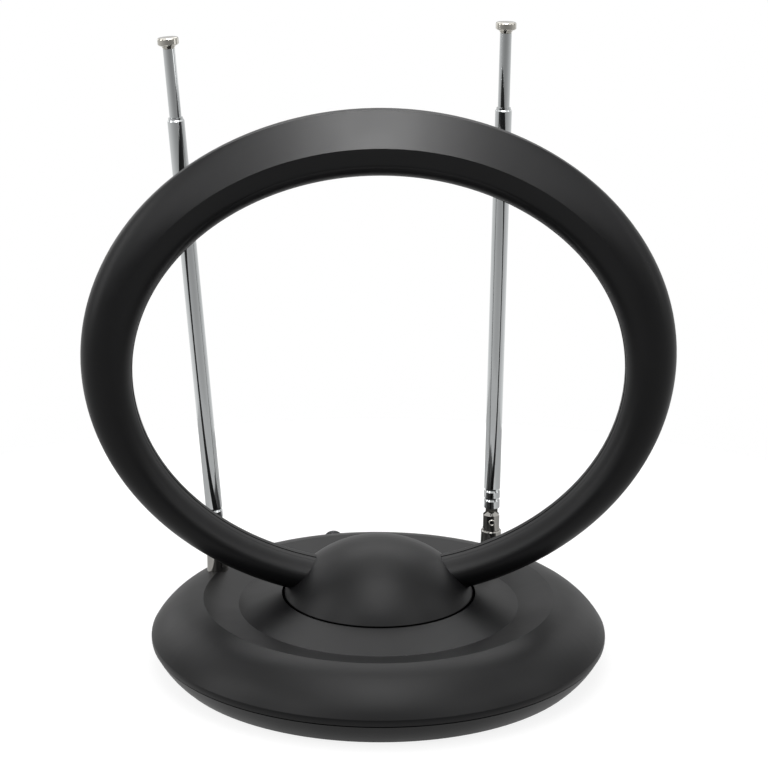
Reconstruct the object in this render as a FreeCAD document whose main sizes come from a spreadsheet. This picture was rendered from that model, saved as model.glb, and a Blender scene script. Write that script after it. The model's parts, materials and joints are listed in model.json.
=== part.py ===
import FreeCAD, Part
import math
import os

import Sketcher

# Indoor television antenna: a ring on a dome that swivels in a round base, and two telescopic rods
# on elbows behind it. Millimetres and degrees. +Z is up, the ring stands in the XZ plane and faces -Y.
# The origin is on the table under the middle of the base. The rest pose is the one in the picture:
# the base is turned a little against the ring, and the rods are nearly closed.

Vector = FreeCAD.Vector
Rotation = FreeCAD.Rotation
Placement = FreeCAD.Placement
ACROSS = Vector(1, 0, 0)
DEEP = Vector(0, 1, 0)
UP = Vector(0, 0, 1)

# Driving dimensions, one row each: name, value, what it is
DIMENSIONS = [
    ("base_radius", 95.0, "largest radius of the base"),
    ("base_turn_angle", 11.4, "how far the base is turned against the ring at rest"),
    ("wall", 2.4, "wall of every moulding"),
    ("foot_height", 1.8, "rubber foot, table to recess"),
    ("foot_radius", 6.3, "rubber foot"),
    ("foot_inset", 31.0, "middle of the rubber feet inside the rim"),
    ("foot_angle", 45.0, "first rubber foot, from the back of the base"),
    ("plate_bottom", 1.0, "underside of the base plate above the table"),
    ("plate_flat_inset", 7.6, "flat underside of the base plate inside the rim"),
    ("plate_round", 31.0, "side curve of the base plate"),
    ("seam_height", 10.6, "middle of the seam between base plate and cover"),
    ("seam_gap", 0.6, "open height of that seam"),
    ("lip_rise", 3.0, "lip of the base plate inside the cover"),
    ("lip_gap", 0.2, "play round that lip"),
    ("shoulder_height", 13.5, "where the rim's round ends"),
    ("rim_round", 5.0, "round of the rim"),
    ("skirt_round", 28.0, "curve of the skirt"),
    ("crest_inset", 21.8, "ring-shaped crest of the cover inside the rim"),
    ("crest_height", 27.6, "crest above the table"),
    ("moat_inset", 14.7, "bottom of the shallow moat inside the crest"),
    ("moat_height", 24.2, "bottom of the moat above the table"),
    ("lip_height", 28.7, "top edge of the well in which the dome stands"),
    ("well_floor", 23.5, "floor of that well"),
    ("dome_radius", 39.6, "foot of the dome"),
    ("dome_gap", 0.9, "dark gap round the dome"),
    ("dome_foot", 28.5, "where the dome's side starts to curve"),
    ("dome_top", 51.8, "top of the dome"),
    ("swivel_gap", 0.2, "play under and over the swivel plate"),
    ("swivel_plate_height", 3.0, "floor plate of the dome"),
    ("spigot_radius", 11.9, "spigot of the swivel plate"),
    ("running_gap", 0.08, "radial play of turning and sliding fits"),
    ("spigot_washer_radius", 16.0, "washer under the spigot"),
    ("washer_height", 0.8, "every washer"),
    ("ring_half_width", 121.3, "outer outline of the ring, half its width"),
    ("ring_half_height", 102.8, "outer outline of the ring, half its height"),
    ("ring_sink", 26.2, "lowest point of the outer outline under the dome's top"),
    ("side_band", 20.6, "width of the ring's band at its sides"),
    ("end_band", 20.7, "mean width of the ring's band at its top and bottom"),
    ("hole_drop", 5.65, "middle of the inner outline under that of the outer one"),
    ("ring_front", 9.0, "ridge of the ring in front of the turning axis"),
    ("ring_back", 5.5, "back of the ring behind the turning axis"),
    ("ring_part", 3.5, "parting plane of the two shells behind the axis"),
    ("ridge_share", 0.53, "place of the ridge across the band, from the outer edge"),
    ("outer_edge_front", 1.0, "front edge of the outer wall in front of the axis"),
    ("inner_edge_front", 3.0, "front edge of the inner wall in front of the axis"),
    ("outer_edge_round", 4.5, "round of the outer front edge"),
    ("inner_edge_round", 7.0, "round of the inner front edge"),
    ("ridge_round", 0.8, "round of the ridge"),
    ("back_edge_round", 1.0, "round of the ring's rear edges"),
    ("lid_gap", 0.2, "gap between the rear lid and the walls in which it lies"),
    ("channel_wall", 2.2, "wall beside the channel for the conductor"),
    ("channel_front", 0.5, "floor of that channel in front of the axis"),
    ("strip_width", 5.0, "conductor strip"),
    ("strip_height", 0.8, "conductor strip"),
    ("strip_gap", 16.0, "opening of the conductor at the bottom"),
    ("rod_inset", 19.6, "middle of the elbows inside the rim"),
    ("rod_spread_angle", 54.2, "angle of an elbow from the back of the base"),
    ("left_lean_angle", 4.4, "lean of the left rod at rest, outwards"),
    ("right_lean_angle", 0.55, "lean of the right rod at rest, outwards"),
    ("left_tip_out", 28.0, "left tip tube out of the main tube at rest"),
    ("right_tip_out", 31.0, "right tip tube out of the main tube at rest"),
    ("pivot_height", 40.2, "elbow pivot above the table"),
    ("collar_radius", 4.5, "collar of the elbow"),
    ("collar_top", 36.0, "top of the collar above the table"),
    ("collar_bottom", 18.1, "shoulder on which the elbow turns"),
    ("socket_radius", 7.2, "socket for the elbow inside the cover"),
    ("shank_radius", 2.5, "lower end of the elbow"),
    ("shank_length", 3.1, "lower end of the elbow"),
    ("fork_radius", 3.7, "fork of the elbow"),
    ("fork_rise", 4.5, "top of the fork above the pivot"),
    ("fork_chamfer", 1.6, "bevel on top of the fork"),
    ("slot_width", 2.6, "slot of the fork"),
    ("pin_radius", 1.3, "rivet of the elbow"),
    ("pin_recess", 0.35, "ends of the rivet inside the fork's round"),
    ("tongue_width", 5.2, "tongue in the fork"),
    ("tongue_play", 0.1, "play of the tongue at each side"),
    ("slot_play", 0.5, "play under the tongue"),
    ("lug_tail_width", 3.0, "tail of a solder tag"),
    ("lug_tail_length", 10.8, "tail of a solder tag, from the middle of its hole"),
    ("rod_start", 6.4, "lower end of the main tube above the pivot"),
    ("main_radius", 3.5, "main tube"),
    ("main_wall", 0.4, "main tube"),
    ("main_top", 182.6, "mouth of the main tube above the pivot"),
    ("mouth_bevel", 0.34, "bevel of the main tube's mouth, inwards"),
    ("mouth_bevel_height", 0.6, "bevel of the main tube's mouth, height"),
    ("groove_depth", 0.35, "rolled groove"),
    ("groove_width", 1.6, "rolled groove"),
    ("groove_low", 10.3, "lower rolled groove above the pivot"),
    ("groove_high", 14.5, "upper rolled groove above the pivot"),
    ("plug_top", 17.0, "top of the plug above the pivot"),
    ("middle_wall", 0.5, "middle tube"),
    ("middle_start", 18.0, "lower end of the middle tube above the pivot"),
    ("middle_out", 0.8, "middle tube out of the main tube at rest"),
    ("tip_length", 164.0, "tip tube"),
    ("tip_wall", 0.4, "tip tube"),
    ("knob_radius", 4.3, "knob on the tip"),
    ("knob_height", 4.6, "knob on the tip"),
    ("knob_round", 0.8, "round of the knob's top edge"),
    ("knob_neck_radius", 2.9, "neck under the knob where it meets the knob"),
    ("knob_neck_height", 1.5, "neck under the knob"),
    ("jack_inset", 11.0, "rear flat for the aerial socket inside the rim"),
    ("jack_flat_width", 22.0, "rear flat"),
    ("jack_share", 0.6413, "height of the aerial socket above the table, as a share of the crest's"),
    ("jack_radius", 4.76, "thread of the aerial socket"),
    ("thread_depth", 0.16, "depth of that thread"),
    ("jack_pin_radius", 0.5, "solder pin of the aerial socket, and the hole for the cable's core"),
    ("jack_pin_length", 7.2, "solder pin behind the flange"),
    ("jack_reach", 10.5, "aerial socket out of the rear flat"),
    ("jack_hex", 11.0, "hexagon of nut and flange, across flats"),
    ("nut_height", 2.0, "nut of the aerial socket"),
    ("flange_height", 3.0, "flange of the aerial socket"),
    ("post_inset", 25.0, "middle of the cover's screw posts inside the rim"),
    ("post_radius", 4.0, "screw post"),
    ("post_joint", 8.0, "where cover posts meet plate posts, above the table"),
    ("post_back_angle", 28.0, "rear screw posts, from the back of the base"),
    ("post_front_angle", 120.0, "front screw posts, from the back of the base"),
    ("screw_radius", 1.4, "thread of the screws"),
    ("screw_head_radius", 2.8, "head of the screws"),
    ("screw_head_height", 1.4, "head of the screws"),
    ("screw_length", 10.0, "length of the base screws under the head"),
    ("short_screw_length", 5.0, "length of all other screws under the head"),
    ("ballast_inset", 37.0, "edge of the steel disc inside the rim"),
    ("ballast_height", 3.0, "steel disc"),
    ("board_width", 34.0, "circuit board"),
    ("board_depth", 24.0, "circuit board"),
    ("board_height", 1.6, "circuit board"),
    ("board_inset", 19.5, "middle of the circuit board in front of the rear flat"),
    ("core_width", 14.0, "ferrite block"),
    ("core_depth", 7.0, "ferrite block"),
    ("core_height", 4.2, "ferrite block"),
    ("core_hole", 1.1, "holes of the ferrite block, radius"),
    ("dome_post_radius", 3.0, "posts of the dome"),
    ("dome_post_x", 20.0, "posts of the dome, from its middle"),
    ("dome_post_front", 16.0, "front posts, in front of the axis"),
    ("dome_post_back", 20.0, "rear posts, behind the axis"),
]

doc = FreeCAD.newDocument("ring_antenna")
sheet = doc.addObject("Spreadsheet::Sheet", "Sizes")


class Size:
    """A value together with the expression that works it out from the sheet."""

    def __init__(self, text, value):
        self.text = text
        self.value = value

    def joined(self, sign, other, value):
        return Size("(%s %s %s)" % (self.text, sign, other.text), value)

    def __add__(self, other):
        other = as_size(other)
        return self.joined("+", other, self.value + other.value)

    def __sub__(self, other):
        other = as_size(other)
        return self.joined("-", other, self.value - other.value)

    def __mul__(self, other):
        other = as_size(other)
        return self.joined("*", other, self.value * other.value)

    def __truediv__(self, other):
        other = as_size(other)
        return self.joined("/", other, self.value / other.value)

    def __neg__(self):
        return as_size(0) - self


def as_size(number):
    if isinstance(number, Size):
        return number
    return Size("%.6f" % number, float(number))


def root(size):
    return Size("sqrt(%s)" % size.text, math.sqrt(size.value))


def sine(angle):
    return Size("sin(%s)" % angle.text, math.sin(math.radians(angle.value)))


def cosine(angle):
    return Size("cos(%s)" % angle.text, math.cos(math.radians(angle.value)))


def fill_sheet():
    """Writes the driving dimensions into the sheet and returns them by name."""
    sizes = {}
    for row, (name, value, note) in enumerate(DIMENSIONS, start=1):
        sheet.set("A%d" % row, name)
        sheet.set("B%d" % row, "%g" % value)
        sheet.set("C%d" % row, note)
        sheet.setAlias("B%d" % row, name)
        sizes[name] = Size("Sizes.%s" % name, value)
    doc.recompute()
    return sizes


S = fill_sheet()


def bind(thing, prop, size):
    thing.setExpression(prop, as_size(size).text)


def place(thing, x=0, y=0, z=0, axis=UP, angle=0):
    """Puts a thing at a point, turned about one axis, all bound to the sheet."""
    point = [as_size(value) for value in (x, y, z)]
    turn = as_size(angle)
    thing.Placement = Placement(Vector(*[p.value for p in point]), Rotation(axis, turn.value))
    for letter, size in zip("xyz", point):
        bind(thing, ".Placement.Base." + letter, size)
    if turn.value:
        bind(thing, ".Placement.Rotation.Angle", turn)
    return thing


def box(name, low, high):
    """A block between two corners."""
    thing = doc.addObject("Part::Box", name)
    low = [as_size(value) for value in low]
    high = [as_size(value) for value in high]
    for prop, start, end in zip(("Length", "Width", "Height"), low, high):
        bind(thing, prop, end - start)
    return place(thing, *low)


def rod(name, radius, length, x=0, y=0, z=0):
    """An upright round bar that stands on the given point."""
    thing = doc.addObject("Part::Cylinder", name)
    bind(thing, "Radius", radius)
    bind(thing, "Height", length)
    return place(thing, x, y, z)


def rod_back(name, radius, length, x=0, y=0, z=0):
    """A round bar that starts at the given point and runs to the back, along +Y."""
    thing = rod(name, radius, length)
    return place(thing, x, y, z, ACROSS, -90)


def rod_side(name, radius, length, x=0, y=0, z=0):
    """A round bar that starts at the given point and runs to the right, along +X."""
    thing = rod(name, radius, length)
    return place(thing, x, y, z, DEEP, 90)


def hexagon_back(name, across_flats, length, y, z):
    """A hexagonal bar that starts at the given depth and runs to the back."""
    thing = doc.addObject("Part::Prism", name)
    thing.Polygon = 6
    bind(thing, "Circumradius", as_size(across_flats) / math.sqrt(3))
    bind(thing, "Height", length)
    return place(thing, 0, y, z, ACROSS, -90)


# Faces are never merged after a cut or a join: on the ring with its dome that spoils the solid

def cut(name, base, tool):
    thing = doc.addObject("Part::Cut", name)
    thing.Base = base
    thing.Tool = tool
    thing.Refine = False
    return thing


def common(name, base, tool):
    thing = doc.addObject("Part::Common", name)
    thing.Base = base
    thing.Tool = tool
    thing.Refine = False
    return thing


def fuse(name, things):
    thing = doc.addObject("Part::MultiFuse", name)
    thing.Shapes = things
    thing.Refine = False
    return thing


def group(name, things):
    thing = doc.addObject("Part::Compound", name)
    thing.Links = things
    return thing


class Bow:
    """Says that the way to the next corner is an arc. It bows to the right of the way."""

    def __init__(self, radius):
        self.radius = radius


def arc_middle(start, end, radius):
    """The middle point of an arc from start to end that bows to the right."""
    way = end - start
    half = way.Length / 2
    right = Vector(way.y, -way.x, 0).normalize()
    return (start + end) * 0.5 + right * (radius - math.sqrt(radius ** 2 - half ** 2))


def tie(sketch, geometry, point, axis, other_axis, size):
    """Fixes one coordinate of a sketch point, on the axis itself where it is zero."""
    if size.value == 0:
        sketch.addConstraint(Sketcher.Constraint("PointOnObject", geometry, point, other_axis))
        return
    number = sketch.addConstraint(Sketcher.Constraint(axis, -1, 1, geometry, point, size.value))
    bind(sketch, "Constraints[%d]" % number, size)


def outline(sketch, corners):
    """A closed outline through corners (x, y), with a Bow between two of them where it is round."""
    points = []
    bows = {}
    for entry in corners:
        if isinstance(entry, Bow):
            bows[len(points) - 1] = as_size(entry.radius)
        else:
            points.append((as_size(entry[0]), as_size(entry[1])))
    places = [Vector(x.value, y.value, 0) for x, y in points]
    starts = []
    ends = []
    for index, start in enumerate(places):
        end = places[(index + 1) % len(places)]
        if index in bows:
            middle = arc_middle(start, end, bows[index].value)
            turns_left = (middle - start).cross(end - middle).z > 0
            first, last = (start, end) if turns_left else (end, start)
            number = sketch.addGeometry(Part.Arc(first, middle, last))
            starts.append((number, 1 if turns_left else 2))
            ends.append((number, 2 if turns_left else 1))
        else:
            number = sketch.addGeometry(Part.LineSegment(start, end))
            starts.append((number, 1))
            ends.append((number, 2))
    for index, end in enumerate(ends):
        start = starts[(index + 1) % len(starts)]
        sketch.addConstraint(Sketcher.Constraint("Coincident", end[0], end[1], start[0], start[1]))
    for (number, end), (x, y) in zip(starts, points):
        tie(sketch, number, end, "DistanceX", -2, x)
        tie(sketch, number, end, "DistanceY", -1, y)
    for index, radius in bows.items():
        number = starts[index][0]
        constraint = sketch.addConstraint(Sketcher.Constraint("Radius", number, radius.value))
        bind(sketch, "Constraints[%d]" % constraint, radius)


def turned(name, corners):
    """A body turned about the Z axis from an outline of (radius, height) corners."""
    body = doc.addObject("PartDesign::Body", name)
    sketch = body.newObject("Sketcher::SketchObject", name + "_outline")
    planes = [plane for plane in body.Origin.OriginFeatures if plane.Role == "XZ_Plane"]
    sketch.AttachmentSupport = [(planes[0], "")]
    sketch.MapMode = "FlatFace"
    outline(sketch, corners)
    revolution = body.newObject("PartDesign::Revolution", name + "_turn")
    revolution.Profile = sketch
    revolution.ReferenceAxis = (sketch, ["V_Axis"])
    revolution.Angle = 360
    return body


NODES = []


def node(label, thing, turned_with_base=False):
    """Names a finished sub-part. Base pieces are turned with the base."""
    thing.Label = label
    if turned_with_base:
        place(thing, axis=UP, angle=S["base_turn_angle"])
    NODES.append(thing)
    return thing


def on_base(circle, angle):
    """A point on a circle of the base, at an angle from its back, positive to the right."""
    return circle * sine(angle), circle * cosine(angle)


def screw(name, x, y, seat, length):
    """A screw from below: its head lies under the seat height, its thread goes up."""
    head_height = S["screw_head_height"]
    head = rod(name + "_head", S["screw_head_radius"], head_height, x, y, seat - head_height)
    thread = rod(name + "_thread", S["screw_radius"], length, x, y, seat)
    return fuse(name, [head, thread])


# Values that several pieces share

plate_flat = S["base_radius"] - S["plate_flat_inset"]
crest_radius = S["base_radius"] - S["crest_inset"]
moat_radius = crest_radius - S["moat_inset"]
rod_circle = S["base_radius"] - S["rod_inset"]
post_circle = S["base_radius"] - S["post_inset"]
foot_circle = S["base_radius"] - S["foot_inset"]
ballast_radius = S["base_radius"] - S["ballast_inset"]
jack_flat = S["base_radius"] - S["jack_inset"]
board_middle = jack_flat - S["board_inset"]
rim_chord = S["shoulder_height"] - S["seam_height"] - S["seam_gap"] / 2
rim_inset = S["rim_round"] - root(S["rim_round"] * S["rim_round"] - rim_chord * rim_chord / 4)
edge_radius = S["base_radius"] - rim_inset
cover_bottom = S["seam_height"] + S["seam_gap"] / 2
plate_top = S["seam_height"] - S["seam_gap"] / 2
plate_floor = S["plate_bottom"] + S["wall"]
well_radius = S["dome_radius"] + S["dome_gap"]
spigot_hole = S["spigot_radius"] + S["running_gap"]
shank_bottom = S["collar_bottom"] - S["shank_length"]
socket_bottom = shank_bottom + S["washer_height"] + S["swivel_gap"]
post_angles = [S[name] * side for name in ("post_back_angle", "post_front_angle") for side in (-1, 1)]
post_places = [on_base(post_circle, angle) for angle in post_angles]
rod_places = [on_base(rod_circle, S["rod_spread_angle"] * side) for side in (-1, 1)]
foot_angles = [S["foot_angle"] + quarter * 90 for quarter in range(4)]
foot_places = [on_base(foot_circle, angle) for angle in foot_angles]
jack_height = S["crest_height"] * S["jack_share"]
board_bottom = jack_height - S["jack_pin_radius"] - S["board_height"]


# Base cover: skirt, crest, moat and terrace in one turned shell, with posts, sockets and the rear flat

def base_cover():
    wall = S["wall"]
    crest = (crest_radius, S["crest_height"])
    full = turned("cover_full", [
        (0, plate_floor),
        (plate_flat - wall, plate_floor),
        (plate_flat - wall, cover_bottom),
        (edge_radius, cover_bottom),
        Bow(S["rim_round"]),
        (edge_radius, S["shoulder_height"]),
        Bow(S["skirt_round"]),
        crest,
        (moat_radius, S["moat_height"]),
        (well_radius, S["lip_height"]),
        (well_radius, S["well_floor"]),
        (0, S["well_floor"]),
    ])
    hollow = turned("cover_hollow", [
        (0, plate_floor - wall),
        (edge_radius - wall, plate_floor - wall),
        (edge_radius - wall, S["shoulder_height"]),
        Bow(S["skirt_round"] - wall),
        (crest_radius, S["crest_height"] - wall),
        (moat_radius, S["moat_height"] - wall),
        (well_radius + wall, S["lip_height"] - wall),
        (well_radius + wall, S["well_floor"] - wall),
        (0, S["well_floor"] - wall),
    ])
    shell = cut("cover_shell", full, hollow)
    inside = []
    holes = []
    for index, (x, y) in enumerate(post_places):
        tall = S["crest_height"] - S["post_joint"]
        inside.append(rod("cover_post_%d" % index, S["post_radius"], tall, x, y, S["post_joint"]))
        deep = S["screw_length"]
        holes.append(rod("cover_pilot_%d" % index, S["screw_radius"], deep, x, y, S["post_joint"]))
    for index, (x, y) in enumerate(rod_places):
        tall = S["crest_height"] - socket_bottom
        inside.append(rod("socket_%d" % index, S["socket_radius"], tall, x, y, socket_bottom))
        seat = S["collar_bottom"] - S["running_gap"]
        bore = S["collar_radius"] + S["running_gap"]
        holes.append(rod("socket_bore_%d" % index, bore, tall + wall, x, y, seat))
        neck = S["shank_radius"] + S["running_gap"]
        holes.append(rod("socket_neck_%d" % index, neck, tall, x, y, socket_bottom - wall))
    half = S["jack_flat_width"] / 2
    inside.append(box("jack_block", (-half - wall, jack_flat - wall, plate_floor),
                      (half + wall, S["base_radius"], S["crest_height"])))
    nut_bottom = jack_height - S["jack_hex"] / 2
    holes.append(box("jack_pocket", (-half, jack_flat, nut_bottom - S["lip_gap"]),
                     (half, S["base_radius"] + wall, S["crest_height"] + wall)))
    holes.append(rod_back("jack_hole", S["jack_radius"] + S["running_gap"], wall * 3,
                          0, jack_flat - wall * 2, jack_height))
    holes.append(rod("spigot_hole", spigot_hole, wall * 3, 0, 0, S["well_floor"] - wall * 2))
    blocks = common("cover_blocks", fuse("cover_inside", inside), full)
    whole = fuse("cover_whole", [shell, blocks])
    node("base_cover", cut("cover_cut", whole, fuse("cover_holes", holes)), True)


# Base plate: a shallow dish with a lip inside the cover, screw posts and board posts

def base_plate():
    lip_radius = edge_radius - S["wall"] - S["lip_gap"]
    lip_top = plate_top + S["lip_rise"]
    dish = turned("plate_dish", [
        (0, S["plate_bottom"]),
        (plate_flat, S["plate_bottom"]),
        Bow(S["plate_round"]),
        (edge_radius - S["lip_gap"] * 2, plate_top),
        (lip_radius, plate_top),
        (lip_radius, lip_top),
        (lip_radius - S["wall"] / 2, lip_top),
        (lip_radius - S["wall"] / 2, plate_top),
        (plate_flat - S["wall"] / 2, plate_floor),
        (0, plate_floor),
    ])
    added = [dish]
    holes = []
    seat = S["post_joint"] - S["wall"]
    post_radius = S["post_radius"] + S["wall"] / 2
    well = S["screw_head_radius"] + S["lip_gap"]
    tall = S["post_joint"] - S["plate_bottom"]
    for index, (x, y) in enumerate(post_places):
        added.append(rod("plate_post_%d" % index, post_radius, tall, x, y, S["plate_bottom"]))
        holes.append(rod("plate_well_%d" % index, well, seat, x, y, 0))
        holes.append(rod("plate_hole_%d" % index, S["screw_radius"] + S["lip_gap"], tall * 2, x, y, 0))
    rest = board_bottom - plate_floor
    for side in (-1, 1):
        x = S["board_width"] / 3 * side
        added.append(rod("board_post_%d" % side, S["wall"], rest, x, board_middle, plate_floor))
    recess = S["foot_radius"] + S["lip_gap"]
    for index, (x, y) in enumerate(foot_places):
        holes.append(rod("foot_recess_%d" % index, recess, S["foot_height"], x, y, 0))
    jack_room = S["jack_flat_width"] / 2 + S["wall"] + S["lip_gap"]
    holes.append(box("lip_notch", (-jack_room, jack_flat - S["wall"] * 2, plate_top),
                     (jack_room, S["base_radius"], lip_top + S["wall"])))
    node("base_plate", cut("plate_cut", fuse("plate_whole", added), fuse("plate_holes", holes)), True)
    screws = [screw("base_screw_%d" % index, x, y, seat, S["screw_length"])
              for index, (x, y) in enumerate(post_places)]
    node("base_screws", group("base_screw_group", screws), True)


def base_feet():
    feet = []
    for index, (x, y) in enumerate(foot_places):
        feet.append(rod("foot_%d" % index, S["foot_radius"], S["foot_height"], x, y, 0))
    node("base_feet", group("foot_group", feet), True)


def ballast_plate():
    node("ballast_plate", rod("ballast", ballast_radius, S["ballast_height"], 0, 0, plate_floor))


# Balun: a small board on two posts, with its ferrite block

def balun():
    half = S["board_width"] / 2
    front = board_middle - S["board_depth"] / 2
    top = board_bottom + S["board_height"]
    board = box("board", (-half, front, board_bottom), (half, front + S["board_depth"], top))
    board_node = group("board_group", [board])
    node("balun_board", board_node, True)
    core_half = S["core_width"] / 2
    core_front = front + S["wall"]
    block = box("core_block", (-core_half, core_front, top),
                (core_half, core_front + S["core_depth"], top + S["core_height"]))
    holes = []
    for side in (-1, 1):
        y = core_front + S["core_depth"] / 2 + S["core_depth"] / 4 * side
        holes.append(rod_side("core_hole_%d" % side, S["core_hole"], S["core_width"] * 2,
                              -S["core_width"], y, top + S["core_height"] / 2))
    node("balun_core", cut("core_cut", block, fuse("core_holes", holes)), True)


# Aerial socket: threaded barrel through the rear flat, hexagon flange inside, washer and nut outside

def aerial_socket():
    height = jack_height
    inside = jack_flat - S["wall"]
    outside = jack_flat + S["washer_height"] + S["nut_height"]
    flange_start = inside - S["flange_height"]
    core_radius = S["jack_radius"] - S["thread_depth"]
    neck = rod_back("jack_neck", core_radius, outside - inside, 0, inside, height)
    barrel_length = jack_flat + S["jack_reach"] - outside
    barrel = rod_back("jack_barrel", S["jack_radius"], barrel_length, 0, outside, height)
    flange = hexagon_back("jack_flange", S["jack_hex"], S["flange_height"], flange_start, height)
    pin_start = flange_start - S["jack_pin_length"]
    pin = rod_back("jack_pin", S["jack_pin_radius"], S["jack_pin_length"], 0, pin_start, height)
    contact = rod_back("jack_contact", S["jack_pin_radius"], S["jack_reach"], 0, jack_flat, height)
    whole = fuse("jack_whole", [neck, barrel, flange, pin])
    node("coax_jack", cut("jack_cut", whole, contact), True)

    ring = rod_back("jack_washer_disc", S["jack_hex"] / 2, S["washer_height"], 0, jack_flat, height)
    ring_hole = rod_back("jack_washer_hole", S["jack_radius"] + S["running_gap"], S["wall"] * 2,
                         0, inside, height)
    node("jack_washer", cut("jack_washer_cut", ring, ring_hole), True)

    nut_start = jack_flat + S["washer_height"]
    nut = hexagon_back("jack_nut_hexagon", S["jack_hex"], S["nut_height"], nut_start, height)
    nut_hole = rod_back("jack_nut_hole", core_radius + S["running_gap"], S["jack_reach"], 0, inside, height)
    node("jack_nut", cut("jack_nut_cut", nut, nut_hole), True)


# Ring head: two shells that part along a plane, each moulded with its half of the dome

ring_middle = S["dome_top"] - S["ring_sink"] + S["ring_half_height"]
dome_rise = S["dome_top"] - S["dome_foot"]
dome_round = (S["dome_radius"] * S["dome_radius"] + dome_rise * dome_rise) / (dome_rise * 2)
dome_bottom = S["well_floor"] + S["swivel_gap"] * 2
plate_under = S["well_floor"] + S["swivel_gap"]
plate_over = plate_under + S["swivel_plate_height"]


def oval(name, share, grow, depth):
    """An oval between the ring's outer outline (share 0) and its inner one (share 1), at a depth."""
    thing = doc.addObject("Part::Ellipse", name)
    outer = (S["ring_half_width"], S["ring_half_height"], ring_middle)
    inner = (outer[0] - S["side_band"], outer[1] - S["end_band"], ring_middle - S["hole_drop"])
    width, height, middle = [a + (b - a) * share for a, b in zip(outer, inner)]
    bind(thing, "MajorRadius", width + grow)
    bind(thing, "MinorRadius", height + grow)
    return place(thing, 0, depth, middle, ACROSS, 90)


def drawn_oval(name, share, grow, start, end):
    """A straight oval block from one depth to another."""
    thing = doc.addObject("Part::Extrusion", name)
    thing.Base = oval(name + "_oval", as_size(share), as_size(grow), as_size(start))
    thing.DirMode = "Custom"
    thing.Dir = DEEP
    thing.Solid = True
    bind(thing, "LengthFwd", as_size(end) - start)
    return thing


def tapered_oval(name, sections):
    """A block through ovals given as (share, depth)."""
    thing = doc.addObject("Part::Loft", name)
    thing.Sections = [oval("%s_%d" % (name, index), as_size(share), as_size(0), as_size(depth))
                      for index, (share, depth) in enumerate(sections)]
    thing.Solid = True
    thing.Ruled = True
    return thing


def rounded(name, thing, rounds):
    """Rounds the oval edges that lie wholly at the given depths."""
    doc.recompute()
    edges = []
    for number, edge in enumerate(thing.Shape.Edges, start=1):
        span = edge.BoundBox
        for depth, radius in rounds:
            if abs(span.YMin - depth.value) < 0.01 and abs(span.YMax - depth.value) < 0.01:
                edges.append((number, radius.value, radius.value))
    result = doc.addObject("Part::Fillet", name)
    result.Base = thing
    result.Edges = edges
    return result


def dome_solid(name, inset, bottom):
    """The dome, or the room inside it when inset by the wall, from the given bottom up."""
    ball = doc.addObject("Part::Sphere", name + "_ball")
    bind(ball, "Radius", dome_round - inset)
    place(ball, 0, 0, S["dome_top"] - dome_round)
    bar = rod(name + "_bar", S["dome_radius"] - inset, S["dome_top"] - bottom, 0, 0, bottom)
    return common(name, bar, ball)


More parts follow.
